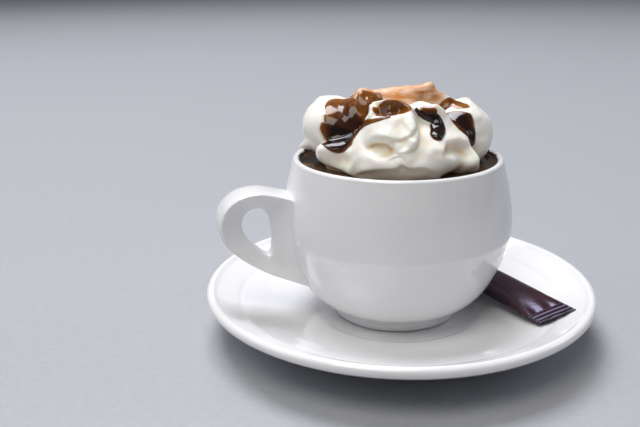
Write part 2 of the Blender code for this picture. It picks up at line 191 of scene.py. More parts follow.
SAUCE_UNDER = 1.3


def linear(hexed):
    """An sRGB hex colour as linear red, green, blue and 1."""
    parts = np.array([int(hexed[i : i + 2], 16) for i in (1, 3, 5)]) / 255
    low = parts / 12.92
    high = ((parts + 0.055) / 1.055) ** 2.4
    return (*np.where(parts <= 0.04045, low, high).tolist(), 1.0)


def smooth(x):
    """0 to 1 with flat ends: three x squared less two x cubed."""
    x = np.clip(x, 0, 1)
    return x * x * (3 - 2 * x)


def wander(points, size, seed=0.0):
    """A smooth unevenness from about -1 to 1: a sum of five sine waves across space, about size long."""
    total = 0
    for k in range(5):
        turn = 2.4 * k + seed
        tilt = 0.9 * math.sin(1.7 * k + seed)
        way = np.array([math.cos(turn) * math.cos(tilt), math.sin(turn) * math.cos(tilt), math.sin(tilt)])
        total = total + np.sin(points @ way * TAU / size * (0.8 + 0.13 * k) + 1.3 * k + 5 * seed)
    return total / 3


def through(points, count, closed=False):
    """A smooth curve through points: a Catmull-Rom spline, read at evenly spaced parameters."""
    points = np.array(points, float)
    if closed:
        padded = np.vstack([points[-1:], points, points[:2]])
        spans = len(points)
    else:
        padded = np.vstack([2 * points[0] - points[1], points, 2 * points[-1] - points[-2]])
        spans = len(points) - 1
    along = np.linspace(0, spans, count, endpoint=not closed)
    span = np.minimum(along.astype(int), spans - 1)
    s = (along - span)[:, None]
    a, b, c, d = (padded[span + k] for k in range(4))
    return 0.5 * (2 * b + (c - a) * s + (2 * a - 5 * b + 4 * c - d) * s**2 + (3 * b - a - 3 * c + d) * s**3)


def arc(centre, radius, start, end, count):
    """Points of an arc in the profile's plane, angles in degrees."""
    turns = np.radians(np.linspace(start, end, count))
    return np.stack([centre[0] + radius * np.cos(turns), centre[1] + radius * np.sin(turns)], axis=-1)


def grid_faces(count, sides, ring=False):
    """Quads over rows that are closed loops. With ring, the last row also meets the first."""
    index = np.arange(count * sides).reshape(count, sides)
    first = index if ring else index[:-1]
    after = np.roll(index, -1, axis=0) if ring else index[1:]
    return np.stack([first, np.roll(first, -1, 1), np.roll(after, -1, 1), after], axis=-1).reshape(-1, 4)


def piece(name, points, faces, finish, node, values=None):
    """A smooth mesh object at the origin, riding on the one body, with point attributes from values."""
    mesh = bpy.data.meshes.new(name)
    mesh.from_pydata(np.asarray(points, float).tolist(), [], faces)
    mesh.shade_smooth()
    for key, numbers in (values or {}).items():
        attribute = mesh.attributes.new(key, "FLOAT", "POINT")
        attribute.data.foreach_set("value", np.asarray(numbers, np.float32))
    mesh.materials.append(finish)
    made = bpy.data.objects.new(name, mesh)
    bpy.context.scene.collection.objects.link(made)
    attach(made, "root")
    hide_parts(node)
    return made


def capped(rows):
    """Points and faces of rows of closed loops, with a fan over the first and the last row."""
    count, sides = rows.shape[:2]
    points = np.vstack([rows.reshape(-1, 3), rows[0].mean(0), rows[-1].mean(0)])
    here = np.arange(sides)
    there = np.roll(here, -1)
    start = np.stack([there, here, np.full(sides, count * sides)], axis=-1)
    last = (count - 1) * sides
    end = np.stack([here + last, there + last, np.full(sides, count * sides + 1)], axis=-1)
    return points, grid_faces(count, sides).tolist() + start.tolist() + end.tolist()


def turned(profile, sides, centre=(0.0, 0.0)):
    """Rows of a profile of (radius, height) carried round the axis: x = r cos a, y = r sin a."""
    turns = np.arange(sides) / sides * TAU
    radius = np.maximum(profile[:, 0], 0.02 * MM)[:, None]
    x = centre[0] + radius * np.cos(turns)
    y = centre[1] + radius * np.sin(turns)
    return np.stack([x, y, np.broadcast_to(profile[:, 1:], x.shape)], axis=-1)


def evenly(profile, step):
    """The same outline with a point at least every step along it, so that the turned faces stay small."""
    length = np.linalg.norm(np.diff(profile, axis=0), axis=1)
    parts = np.maximum(1, np.ceil(length / step)).astype(int)
    pieces = [a + (b - a) * (np.arange(n) / n)[:, None] for a, b, n in zip(profile, profile[1:], parts)]
    return np.vstack([*pieces, profile[-1:]])


# Materials


def cells(size):
    """The scale of a pattern whose cells are about so many mm across, on coordinates in metres.
    The sizes say how coarse each pattern is drawn. They were set, not measured on real ones."""
    return 1000 / size


def add(tree, kind, settings=None, links=None, out=0, stops=(), **attributes):
    """Adds a node with its attributes, its sockets' settings and its links, {socket: source}, and gives
    its output socket. Stops are a colour ramp's places, each with its hex colour."""
    node = tree.nodes.new(kind)
    for key, value in attributes.items():
        setattr(node, key, value)
    for key, value in (settings or {}).items():
        node.inputs[key].default_value = value
    for key, source in (links or {}).items():
        tree.links.new(source, node.inputs[key])
    for number, (place, colour) in enumerate(stops):
        elements = node.color_ramp.elements
        element = elements[number] if number < len(elements) else elements.new(place)
        element.position = place
        element.color = linear(colour)
    return node.outputs[out] if node.outputs else None


def new_material(name):
    """An empty material with its tree and its Object coordinates."""
    made = bpy.data.materials.new(name)
    made.use_nodes = True
    made.node_tree.nodes.clear()
    return made, made.node_tree, add(made.node_tree, "ShaderNodeTexCoord", out="Object")


def glazed_porcelain():
    """Hard-paste porcelain, dipped in clear glaze and fired: white and glassy, with sharp highlights that
    waver a little where the glaze ran."""
    made, tree, where = new_material("glazed_porcelain")
    # The white and the gloss drift, as the glaze lies thicker or thinner
    cloud = add(tree, "ShaderNodeTexNoise", {"Scale": cells(36), "Detail": 2.0}, {"Vector": where})
    white = ((0.3, "#ECECED"), (0.7, "#F2F2F3"))
    white = add(tree, "ShaderNodeValToRGB", links={"Fac": cloud}, stops=white)
    change = {"From Min": 0.3, "From Max": 0.7, "To Min": 0.04, "To Max": 0.08}
    gloss = add(tree, "ShaderNodeMapRange", change, {"Value": cloud})
    # The glaze's wave, hardly deep
    wave = add(tree, "ShaderNodeTexNoise", {"Scale": cells(6.5), "Detail": 1.0}, {"Vector": where})
    wave = add(tree, "ShaderNodeBump", {"Strength": 0.05, "Distance": 0.4 * MM}, {"Height": wave})
    links = {"Base Color": white, "Roughness": gloss, "Normal": wave}
    shader = add(tree, "ShaderNodeBsdfPrincipled", {"IOR": 1.56}, links)
    add(tree, "ShaderNodeOutputMaterial", links={"Surface": shader})
    return made


def drinking_chocolate():
    """Hot milk with cocoa, stirred and poured: dark and wet, nearly a mirror, with paler threads where
    cream melts in."""
    made, tree, where = new_material("drinking_chocolate")
    # Threads of cream
    noise = {"Scale": cells(11), "Detail": 4.0, "Distortion": 1.2}
    thread = add(tree, "ShaderNodeTexNoise", noise, {"Vector": where})
    brown = ((0.35, "#2B190F"), (0.52, "#46301F"), (0.68, "#755538"))
    brown = add(tree, "ShaderNodeValToRGB", links={"Fac": thread}, stops=brown)
    # Faint ripples
    ripple = add(tree, "ShaderNodeTexNoise", {"Scale": cells(4), "Detail": 2.0}, {"Vector": where})
    ripple = add(tree, "ShaderNodeBump", {"Strength": 0.12, "Distance": 0.5 * MM}, {"Height": ripple})
    settings = {"Roughness": 0.14, "IOR": 1.38}
    shader = add(tree, "ShaderNodeBsdfPrincipled", settings, {"Base Color": brown, "Normal": ripple})
    add(tree, "ShaderNodeOutputMaterial", links={"Surface": shader})
    return made


def whipped_cream():
    """Dairy cream, whipped and spooned on: satin, as light passes a few mm into it. Its hollows and its low
    edge carry painted shade, yellower and darker. Cocoa and melted sauce tint it in patches."""
    made, tree, where = new_material("whipped_cream")
    # Painted shade: the colour turns yellower and darker in the cream's creases and near its lower edge, in
    # place of the shade that falls there
    painted_shade = add(tree, "ShaderNodeAttribute", out="Fac", attribute_name="painted_shade")
    white = ((0.0, "#FDF8ED"), (0.5, "#F7E9CF"), (1.0, "#E6CD9C"))
    colour = add(tree, "ShaderNodeValToRGB", links={"Fac": painted_shade}, stops=white)
    # The patches are drawn out from side to side, and flat
    stretched = add(tree, "ShaderNodeMapping", {"Scale": (0.4, 1.0, 2.2)}, {"Vector": where})
    patch = add(tree, "ShaderNodeTexNoise", {"Scale": cells(3.3), "Detail": 4.0}, {"Vector": stretched})
    change = {"From Min": 0.36, "From Max": 0.62, "To Min": 0.45, "To Max": 1.0}
    patch = add(tree, "ShaderNodeMapRange", change, {"Value": patch})
    for name, tint in (("dust", "#DF9850"), ("spot", "#8A4E1C"), ("stain", "#7C4A1E")):
        amount = add(tree, "ShaderNodeAttribute", out="Fac", attribute_name=name)
        share = add(tree, "ShaderNodeMath", links={0: amount, 1: patch}, operation="MULTIPLY")
        links = {"Factor": share, 6: colour}
        colour = add(tree, "ShaderNodeMix", {7: linear(tint)}, links, out=2, data_type="RGBA")
    # Air bubbles roughen the skin. Real ones are too fine to show, so they are drawn coarser
    foam = add(tree, "ShaderNodeTexNoise", {"Scale": cells(0.6), "Detail": 2.0}, {"Vector": where})
    foam = add(tree, "ShaderNodeBump", {"Strength": 0.12, "Distance": 0.3 * MM}, {"Height": foam})
    settings = {
        "Roughness": 0.42,
        "IOR": 1.45,
        "Subsurface Weight": 0.45,
        "Subsurface Radius": (1.0, 0.62, 0.38),
        "Subsurface Scale": 2.8 * MM,
    }
    shader = add(tree, "ShaderNodeBsdfPrincipled", settings, {"Base Color": colour, "Normal": foam})
    add(tree, "ShaderNodeOutputMaterial", links={"Surface": shader})
    return made


def chocolate_sauce():
    """Cocoa and sugar syrup, poured: a wet gloss over brown, amber where it is thin and nearly black
    where it pools."""
    made, tree, where = new_material("chocolate_sauce")
    depth = add(tree, "ShaderNodeAttribute", out="Fac", attribute_name="depth")
    # It runs thicker and thinner in streaks
    noise = {"Scale": cells(6), "Detail": 3.0, "Distortion": 1.0}
    streak = add(tree, "ShaderNodeTexNoise", noise, {"Vector": where})
    change = {"From Min": 0.3, "From Max": 0.7, "To Min": -0.09, "To Max": 0.09}
    streak = add(tree, "ShaderNodeMapRange", change, {"Value": streak})
    uneven = add(tree, "ShaderNodeMath", links={0: depth, 1: streak}, operation="ADD")
    brown = ((0.0, "#94580F"), (0.12, "#80490E"), (0.28, "#43220D"), (0.5, "#1E0E08"), (1.0, "#130706"))
    brown = add(tree, "ShaderNodeValToRGB", links={"Fac": uneven}, stops=brown)
    # Thin films are duller than the pools
    change = {"From Min": 0.05, "From Max": 0.4, "To Min": 0.18, "To Max": 0.1}
    gloss = add(tree, "ShaderNodeMapRange", change, {"Value": depth})
    # Its skin sags in ripples
    ripple = add(tree, "ShaderNodeTexNoise", {"Scale": cells(4.5), "Detail": 1.0}, {"Vector": where})
    ripple = add(tree, "ShaderNodeBump", {"Strength": 0.04, "Distance": 0.6 * MM}, {"Height": ripple})
    links = {"Base Color": brown, "Roughness": gloss, "Normal": ripple}
    shader = add(tree, "ShaderNodeBsdfPrincipled", {"IOR": 1.46}, links)
    add(tree, "ShaderNodeOutputMaterial", links={"Surface": shader})
    return made


def printed_film():
    """Metallised polypropylene film, printed dark brown and sealed hot: cool, rather sharp highlights
    broken by creases. The upper crests of the pressed ridges carry a painted pale lavender highlight."""
    made, tree, where = new_material("printed_metallised_film")
    # The print's tone drifts
    cloud = add(tree, "ShaderNodeTexNoise", {"Scale": cells(17), "Detail": 3.0}, {"Vector": where})
    brown = ((0.3, "#2C1517"), (0.7, "#3E2023"))
    brown = add(tree, "ShaderNodeValToRGB", links={"Fac": cloud}, stops=brown)
    # Painted highlight: the ridge crests on the upper side are mixed toward pale lavender, in place of the
    # light they catch
    painted_highlight = add(tree, "ShaderNodeAttribute", out="Fac", attribute_name="painted_highlight")
    links = {"Factor": painted_highlight, 6: brown}
    colour = add(tree, "ShaderNodeMix", {7: linear("#8E90AE")}, links, out=2, data_type="RGBA")
    # Creases, drawn coarse enough to show
    noise = {"Scale": cells(2.4), "Detail": 2.0, "Distortion": 0.6}
    crease = add(tree, "ShaderNodeTexNoise", noise, {"Vector": where})
    crease = add(tree, "ShaderNodeBump", {"Strength": 0.25, "Distance": 0.4 * MM}, {"Height": crease})
    # Bare film has an IOR of 1.5. The metal under the print makes it reflect more, and cooler
    settings = {"Roughness": 0.26, "IOR": 1.65, "Specular Tint": linear("#C9C6F2")}
    shader = add(tree, "ShaderNodeBsdfPrincipled", settings, {"Base Color": colour, "Normal": crease})
    add(tree, "ShaderNodeOutputMaterial", links={"Surface": shader})
    return made


def matt_paint():
    """Pale grey matt paint, rolled on: even, and with hardly a reflection of what stands on it."""
    made, tree, where = new_material("matt_paint")
    # A faint grain
    grain = add(tree, "ShaderNodeTexNoise", {"Scale": cells(3.3), "Detail": 2.0}, {"Vector": where})
    grey = ((0.3, "#A8AAAF"), (0.7, "#ADAFB4"))
    grey = add(tree, "ShaderNodeValToRGB", links={"Fac": grain}, stops=grey)
    shader = add(tree, "ShaderNodeBsdfPrincipled", {"Roughness": 0.55}, {"Base Color": grey})
    add(tree, "ShaderNodeOutputMaterial", links={"Surface": shader})
    return made


# Porcelain


def saucer_profile():
    """The saucer's outline from its middle out over the lip and back underneath, with a soft crease."""
    lip = SAUCER_LIP / 2
    centre = (SAUCER_RADIUS - lip, SAUCER_HEIGHT - lip)
    well = [(0.0, WELL_FLOOR), (WELL_RADIUS - 2 * MM, WELL_FLOOR), (WELL_RADIUS, WELL_FLOOR + 0.1 * MM)]
    step = [(WELL_RADIUS + 1.4 * MM, WELL_FLOOR + 0.8 * MM), (WELL_RADIUS + 3 * MM, WELL_FLOOR + 1.25 * MM)]
    before = (CREASE_RADIUS - 1.2 * MM, CREASE_HEIGHT - 0.35 * MM)
    slope = through([step[-1], (50 * MM, 9.9 * MM), (60 * MM, 12.5 * MM), before], 30)
    crease = [
        (CREASE_RADIUS - 0.4 * MM, CREASE_HEIGHT - 0.25 * MM),
        (CREASE_RADIUS + 0.5 * MM, CREASE_HEIGHT + 0.35 * MM),
    ]
    flange = [(73 * MM, 17.3 * MM), (76 * MM, 18.7 * MM)]
    under = through(
        [
            (SAUCER_RADIUS - 1.9 * MM, SAUCER_HEIGHT - 4.6 * MM),
            (CREASE_RADIUS, CREASE_HEIGHT - SAUCER_WALL),
            (50 * MM, 5.2 * MM),
            (35 * MM, 2.4 * MM),
        ],
        30,
    )
    foot = [
        (33.6 * MM, 1.2 * MM),
        (33.3 * MM, 0.3 * MM),
        (32.7 * MM, 0.0),
        (28.8 * MM, 0.0),
        (28.2 * MM, 0.3 * MM),
        (27.6 * MM, 1.6 * MM),
        (26 * MM, 1.8 * MM),
        (0.0, 1.8 * MM),
    ]
    rise = through(well[1:] + step, 9)
    lip_arc = arc(centre, lip, 115, -65, 22)
    return np.vstack([well[:1], rise, slope[1:], crease, flange, lip_arc, under, foot])


def build_saucer(finish):
    points, faces = capped(turned(evenly(saucer_profile(), PROFILE_STEP), SAUCER_SIDES)[::-1])
    return piece("saucer_glazed", points, faces, finish, "saucer")


def belly(count):
    """The cup's outer side, foot to lip: a smooth curve through radii at shares of its height."""
    low = CUP_BASE + FOOT_HEIGHT
    high = CUP_TOP - 1.2 * MM
    points = [(r * MM, low + (high - low) * s) for r, s in zip(BELLY_RADII, BELLY_SHARES)]
    return through(points, count)


def wall_radius(heights):
    """The cup's outer radius at each height."""
    side = belly(120)
    return np.interp(heights, side[:, 1], side[:, 0])


def inner_radius(heights):
    """The outer radius less the wall, which thins towards the lip with the fourth power of the height."""
    share = np.clip((heights - CUP_BASE) / (CUP_TOP - CUP_BASE), 0, 1)
    return wall_radius(heights) - WALL - (LIP - WALL) * share**4


def cup_profile():
    """The cup's outline: middle of its floor, up the inside, over the round lip, down to its foot ring."""
    floor = CUP_BASE + FLOOR
    lip = LIP / 2
    rim = (BELLY_RADII[-1] * MM - lip, CUP_TOP - lip)
    heights = np.linspace(floor + 1.5 * MM, rim[1] - 0.4 * MM, 40)
    radii = inner_radius(heights)
    radii[0] -= 4 * MM
    inside = np.stack([radii, heights], axis=-1)
    outside = belly(70)[::-1]
    low = CUP_BASE + FOOT_HEIGHT + 0.4 * MM
    outside = outside[(outside[:, 1] < rim[1] - 0.5 * MM) & (outside[:, 1] > low)]
    foot_round = 0.7 * MM
    foot = [
        (FOOT_RADIUS - 0.5 * MM, CUP_BASE + FOOT_HEIGHT),
        (FOOT_RADIUS - 0.1 * MM, CUP_BASE + FOOT_HEIGHT - 0.8 * MM),
        (FOOT_RADIUS, CUP_BASE + 1.4 * MM),
    ]
    corner = arc((FOOT_RADIUS - foot_round, CUP_BASE + foot_round), foot_round, 0, -90, 6)
    under = [
        (FOOT_RADIUS - FOOT_WIDTH, CUP_BASE),
        (FOOT_RADIUS - FOOT_WIDTH - 1 * MM, CUP_BASE + FOOT_RECESS),
        (0.0, CUP_BASE + FOOT_RECESS),
    ]
    return np.vstack([[(0.0, floor)], inside, arc(rim, lip, 180, 0, 18), outside, foot, corner, under])


def build_cup(finish):
    rows = turned(evenly(cup_profile(), PROFILE_STEP), CUP_SIDES, (CUP_X, CUP_Y))
    points, faces = capped(rows[::-1])
    return piece("cup_glazed", points, faces, finish, "cup")


def build_handle(finish):
    """An ear: a wedge section from the hole's edge to the outer edge is carried round the hole
    and closes on itself. Near the wall it swells by a distance that falls off exponentially,
    as the slip that joins it does."""
    outer = through(HANDLE_OUTER, HANDLE_STEPS, closed=True)
    hole = through(HANDLE_HOLE, HANDLE_STEPS, closed=True)
    half = list(HANDLE_SECTION)
    other_half = [(share, -width) for share, width in reversed(half[1:])]
    section = through(half + other_half, HANDLE_SIDES, closed=True)
    share = section[None, :, 0, None]
    flat = hole[:, None] + (outer - hole)[:, None] * share
    width = np.broadcast_to(section[:, 1], flat.shape[:2])
    middle = hole[:, None] + (outer - hole)[:, None] * 0.55
    away = np.hypot(flat[..., 0], width) - wall_radius(flat[..., 1] * MM) / MM
    swell = 1.6 * np.exp(-np.maximum(away, 0) / 1.7)
    out = flat - middle
    reach = np.linalg.norm(np.concatenate([out, width[..., None]], axis=-1), axis=-1, keepdims=True)
    flat = flat + out / reach * swell[..., None]
    width = width + width / reach[..., 0] * swell
    rows = np.stack([CUP_X - flat[..., 0] * MM, CUP_Y + width * MM, flat[..., 1] * MM], axis=-1)
    faces = grid_faces(HANDLE_STEPS, HANDLE_SIDES, ring=True)
    return piece("cup_handle", rows[::-1].reshape(-1, 3), faces.tolist(), finish, "cup")


# Drink


def build_drink(finish):
    """A flat disc that climbs the wall as a ragged film, then turns into the wall and closes underneath."""
    sides = DRINK_SIDES
    turns = np.arange(sides) / sides * TAU
    ring = np.stack([np.cos(turns), np.sin(turns), np.zeros(sides)], axis=-1)
    ragged = 0.5 + 0.5 * wander(ring * 40, 17, 0.7) + 0.25 * wander(ring * 40, 4.5, 2.1)
    climb = (1.2 + 1.0 * np.clip(ragged, 0, 1)) * MM
    edge = float(inner_radius(DRINK_LEVEL))
    rows = []
    for share in np.linspace(0.02, 1, 60):
        radius = share * (edge - 1.6 * MM)
        swirl = 0.05 * MM * wander(ring * radius / MM, 9, 0.3)
        rows.append(np.stack([np.full(sides, radius), DRINK_LEVEL + swirl], axis=-1))
    for share in np.linspace(0, 1, 12)[1:]:
        height = DRINK_LEVEL + climb * share**2
        film = (1.6 * (1 - share) ** 1.6 + 0.16) * MM
        rows.append(np.stack([inner_radius(height) - film, height], axis=-1))
    top = rows[-1][:, 1]
    rows.append(np.stack([inner_radius(top) + 0.5 * MM, top + 0.1 * MM], axis=-1))
    rows.append(np.stack([np.full(sides, edge + 0.8 * MM), np.full(sides, DRINK_LEVEL - 3 * MM)], axis=-1))
    rows.append(np.stack([np.full(sides, edge * 0.3), np.full(sides, DRINK_LEVEL - 5 * MM)], axis=-1))
    rows = np.array(rows)
    x = CUP_X + rows[..., 0] * np.cos(turns)
    y = CUP_Y + rows[..., 0] * np.sin(turns)
    points, faces = capped(np.stack([x, y, rows[..., 1]], axis=-1)[::-1])
    return piece("drink_surface", points, faces, finish, "drink")


# Cream and sauce


def toward(turn, rise):
    """The unit direction from the cream's base to a place on it, given in degrees."""
    turn = np.radians(turn)
    rise = np.radians(rise)
    return np.array([math.sin(turn) * math.cos(rise), -math.cos(turn) * math.cos(rise), math.sin(rise)])


def soft_union(a, b, softness):
    """The nearer of two distances, with the crease between them rounded by the softness."""
    share = np.clip(0.5 + 0.5 * (b - a) / softness, 0, 1)
    return b + (a - b) * share - softness * share * (1 - share)


def cream_distance(points):
    """Distance from points to the joined lobes and rolls: about exact near them, negative inside."""
    nearest = np.full(points.shape[:-1], 1e3)
    for centre, radii, turn, softness in LOBES:
        away = points - np.array(centre, float)
        c = math.cos(math.radians(turn))
        s = math.sin(math.radians(turn))
        x = away[..., 0] * c + away[..., 1] * s
        y = away[..., 1] * c - away[..., 0] * s
        away = np.stack([x, y, away[..., 2]], axis=-1)
        scaled = np.linalg.norm(away / radii, axis=-1)
        slope = np.linalg.norm(away / np.square(radii), axis=-1)
        nearest = soft_union(nearest, scaled * (scaled - 1) / np.maximum(slope, 1e-9), softness)
    for start, end, start_radius, end_radius, softness in ROLLS:
        nearest = soft_union(nearest, roll_distance(points, start, end, start_radius, end_radius), softness)
    return nearest


def roll_distance(points, start, end, start_radius, end_radius):
    """Distance from points to a tapered round bar between two places."""
    start = np.array(start, float)
    span = np.array(end, float) - start
    share = np.clip((points - start) @ span / (span @ span), 0, 1)
    off = np.linalg.norm(points - start - share[..., None] * span, axis=-1)
    return off - start_radius - (end_radius - start_radius) * share


def from_line(directions, reach, line):
    """For each direction: how many mm over the surface to a smooth line, which side of it,
    and how far along it from 0 to 1."""
    places = [toward(turn, rise) for turn, rise in through(line, 6 * len(line))]
    nearest = np.full(reach.shape, 1e3)
    side = np.zeros(reach.shape)
    along = np.zeros(reach.shape)
    for step, (a, b) in enumerate(zip(places, places[1:])):
        span = b - a
        share = np.clip((directions - a) @ span / (span @ span), 0, 1)
        off = directions - a - share[..., None] * span
        far = np.linalg.norm(off, axis=-1) * reach
        closer = far < nearest
        nearest = np.where(closer, far, nearest)
        side = np.where(closer, off @ np.cross(a + b, span), side)
        along = np.where(closer, (step + share) / (len(places) - 1), along)
    return nearest, side, along


def fold_relief(directions, reach):
    """How far folds and hollows move the surface. A fold is highest along its line and fades at its
    ends. It falls off as a bell over its wide side, and in one smooth step over a narrow one. A hollow
    is a bell."""
    total = np.zeros(reach.shape)
    for line, height, left, right in FOLDS:
        off, side, along = from_line(directions, reach, line)
        width = np.where(side > 0, left, right)
        fade = smooth(along / 0.2) * smooth((1 - along) / 0.2)
        step = smooth(1 - off / width / 1.4)
        total += height * fade * np.where(width < 1.3, step, np.exp(-((off / width) ** 2)))
    for line, depth, width in HOLLOWS:
        off, _, _ = from_line(directions, reach, line)
        total -= depth * np.exp(-((off / width) ** 2))
    return total


def sauce_depth(directions, reach):
    """Depth of sauce in mm: in each run its thickness times the root of the share of its half width
    that is left, and negative outside."""
    depth = np.full(reach.shape, -3.0)
    for line, halves, thickness in SAUCE_RUNS:
        off, _, along = from_line(directions, reach, line)
        half = np.interp(along, np.linspace(0, 1, len(halves)), halves)
        left = 1 - off / half
        depth = np.maximum(depth, np.where(left > 0, thickness * np.sqrt(np.maximum(left, 0)), 3 * left))
    return depth


def softened(field, times):
    """The field on the grid averaged with its neighbours, up and down and round, a number of times."""
    for _ in range(times):
        padded = np.vstack([field[:1], field, field[-1:]])
        field = (padded[:-2] + 2 * padded[1:-1] + padded[2:]) / 4
        field = (np.roll(field, 1, 1) + 2 * field + np.roll(field, -1, 1)) / 4
    return field


def placed(points):
    """Cream coordinates in mm as metres in the frame: turned about the cup's axis and lifted to its rim."""
    c = math.cos(CREAM_TURN)
    s = math.sin(CREAM_TURN)
    x = (points[..., 0] * c - points[..., 1] * s) * MM + CUP_X
    y = (points[..., 0] * s + points[..., 1] * c) * MM + CUP_Y
    return np.stack([x, y, points[..., 2] * MM + CUP_TOP], axis=-1)


def cream_grid():
    """The cream as reach over (rise, turn): in each direction out from its base, how far off it ends."""
    around = np.linspace(0, TAU, CREAM_TURNS, endpoint=False)
    up = np.radians(np.linspace(-9, 89.6, CREAM_RISES))
    turn, rise = np.meshgrid(around, up)
    sine, cosine = np.sin(turn), np.cos(turn)
    directions = np.stack([np.cos(rise) * sine, -np.cos(rise) * cosine, np.sin(rise)], axis=-1)
    base = np.array([0, 0, CREAM_BASE])
    reach = np.full(turn.shape, CREAM_OUTSIDE)
    for _ in range(36):
        reach = reach - 0.85 * cream_distance(base + reach[..., None] * directions)
    depth = sauce_depth(directions, reach)
    reach = reach + fold_relief(directions, reach)
    points = base + reach[..., None] * directions
    reach = reach + 0.22 * wander(points, 11, 0.4) + 0.08 * wander(points, 4, 1.9)
    return directions, reach, depth, base


def build_cream(finish, directions, reach, depth, base):
    points = base + reach[..., None] * directions
    # Painted shade: how far each place lies below its smoothed surroundings, plus a share near the base,
    # darkens and yellows the cream there
    painted_shade = np.clip((softened(reach, 40) - reach) / 1.6 + 0.4 * smooth((3.5 - points[..., 2]) / 5), 0, 1)
    off = roll_distance(points, CREST_START, CREST_END, 0, 0)
    upper = smooth((points[..., 2] - 18.5) / 3)
    dust = smooth((8.5 - off) / 4.5) * upper * smooth((points[..., 1] + 6.5) / 3)
    spot = np.exp(-((np.linalg.norm((points - (11.5, 2, 24)) / (5.0, 5, 1.7), axis=-1)) ** 2))
    stain = np.exp(-((np.minimum(depth, 0) / 0.25) ** 2))
    values = {"painted_shade": painted_shade, "dust": dust, "spot": spot, "stain": 0.6 * stain}
    # The two poles that capped() adds carry none
    values = {key: np.append(field.reshape(-1), [0, 0]) for key, field in values.items()}
    mesh_points, faces = capped(placed(points))
    return piece("cream_swirl", mesh_points, faces, finish, "whipped_cream", values)


def build_sauce(finish, directions, reach, depth, base):
    """The sauce as a closed skin over part of the cream's grid. Its top follows the cream, smoothed over
    the creases, plus its depth. Its underside lies in the cream, and a strip of faces joins their open
    edges."""
    points = base + reach[..., None] * directions
    depth = depth + 0.12 * wander(points, 8, 3.3)
    filled = np.maximum(softened(reach, 24), reach - 0.5 * np.maximum(depth, 0))
    lying = reach + (filled - reach) * smooth((depth - 0.3) / 0.5)
    top = lying + np.maximum(depth, -0.9)
    under = reach - SAUCE_UNDER
    kept = depth > -0.5
    quads = grid_faces(*reach.shape)
    quads = quads[kept.reshape(-1)[quads].all(axis=1)]
    edges = np.concatenate([quads[:, [k, (k + 1) % 4]] for k in range(4)])
    size = reach.size
    forward = edges[:, 0] * size + edges[:, 1]
    backward = edges[:, 1] * size + edges[:, 0]
    rim = edges[~np.isin(forward, backward)]
    walls = np.stack([rim[:, 1], rim[:, 0], rim[:, 0] + size, rim[:, 1] + size], axis=-1)
    faces = np.concatenate([quads, quads[:, ::-1] + size, walls])
    used, faces = np.unique(faces, return_inverse=True)
    both = np.stack([base + level[..., None] * directions for level in (top, under)]).reshape(-1, 3)
    shade = softened(np.maximum(depth, 0), 14).reshape(-1) / 1.7
    shade = np.clip(np.concatenate([shade, shade]), 0, 1)
    faces = faces.reshape(-1, 4).tolist()
    values = {"depth": shade[used]}
    return piece("sauce_runs", placed(both[used]), faces, finish, "whipped_cream", values)


# Wrapped stick


STICK_END = (49.5 * MM, -45.5 * MM)
STICK_TURN = math.radians(8.6)
STICK_LENGTH = 85 * MM
STICK_WIDTH = 17 * MM
STICK_THICKNESS = 5.4 * MM
CRIMP_LENGTH = 8 * MM
CRIMP_THICKNESS = 0.9 * MM
CRIMP_RIDGES = 3
CRIMP_DEPTH = 0.34 * MM
CUT_WAVE = 0.3 * MM
STICK_STEPS = 420
STICK_SIDES = 112


def saucer_height(radius):
    top = [(0.0, WELL_FLOOR), (WELL_RADIUS, WELL_FLOOR), (WELL_RADIUS + 2.4 * MM, WELL_FLOOR + 1.2 * MM)]
    top += [(50 * MM, 9.9 * MM), (60 * MM, 12.5 * MM), (CREASE_RADIUS, CREASE_HEIGHT)]
    top += [(73 * MM, 17.3 * MM), (SAUCER_RADIUS, SAUCER_HEIGHT)]
    return np.interp(radius, [r for r, _ in top], [z for _, z in top])


